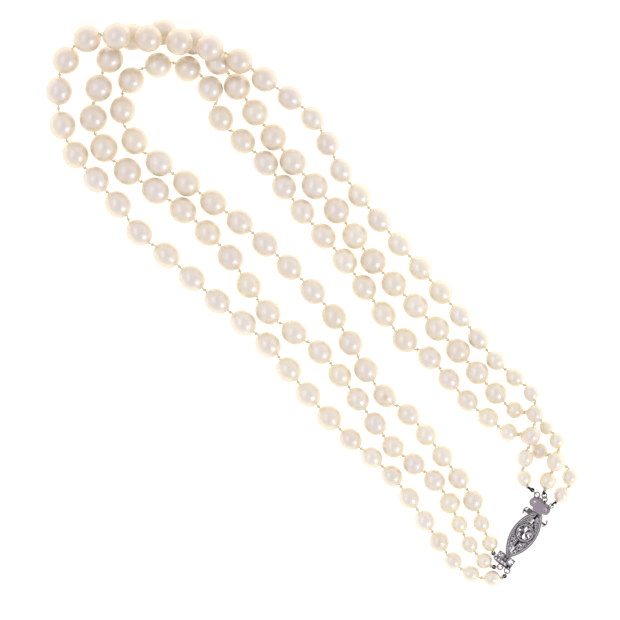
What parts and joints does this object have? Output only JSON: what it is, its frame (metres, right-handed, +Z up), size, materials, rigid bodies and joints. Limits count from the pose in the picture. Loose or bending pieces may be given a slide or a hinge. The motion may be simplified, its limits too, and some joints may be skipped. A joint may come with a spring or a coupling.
{
  "type": "multi strand necklace",
  "caption": "Strands of graded, knotted oval pearls lying as a closed loop, joined by a pointed-oval stone-set tongue clasp between two jewelled end bars.",
  "frame": {"origin": "middle of the loop's bounding box, at the surface it lies on", "axes": "+Y along the loop from the largest pearls to the clasp, +Z up from the surface, +X across the loop towards the clasp's fixed bar"},
  "size_m": [0.0699, 0.207, 0.0158],
  "materials": {
    "pearl": "soft nacre lustre, cream with pink overtones",
    "silk": "knotted beige silk thread",
    "white_metal": "polished white metal, darkened in its recesses",
    "gimp": "tarnished coiled wire",
    "brilliant": "clear brilliant-cut stone"
  },
  "bodies": {
    "necklace": {"pearls_outer": "pearl", "pearls_middle": "pearl", "pearls_inner": "pearl", "thread_outer": "silk", "thread_middle": "silk", "thread_inner": "silk", "clasp_body": "white_metal", "centre_stone": "brilliant", "front_stones": "brilliant", "fixed_bar_stones": "brilliant", "tongue_bar": "white_metal", "tongue_bar_stones": "brilliant", "ring_fixed_outer": "white_metal", "link_fixed_outer": "white_metal", "gimp_fixed_outer": "gimp", "ring_fixed_middle": "white_metal", "link_fixed_middle": "white_metal", "gimp_fixed_middle": "gimp", "link_fixed_inner": "white_metal", "gimp_fixed_inner": "gimp", "ring_tongue_outer": "white_metal", "second_ring_tongue_outer": "white_metal", "gimp_tongue_outer": "gimp", "ring_tongue_middle": "white_metal", "second_ring_tongue_middle": "white_metal", "gimp_tongue_middle": "gimp", "link_tongue_inner": "white_metal", "gimp_tongue_inner": "gimp"},
    "release_spring": {"release_spring": "white_metal"}
  },
  "joints": [
    {"name": "spring_press", "type": "hinge", "parent": "necklace", "child": "release_spring", "pos_m": [0.00923, 0.09756, 0.0012], "axis": [-0.1564, 0.9877, 0], "range_deg": [0, 5], "stiffness_Nm_per_rad": 0.05}
  ]
}
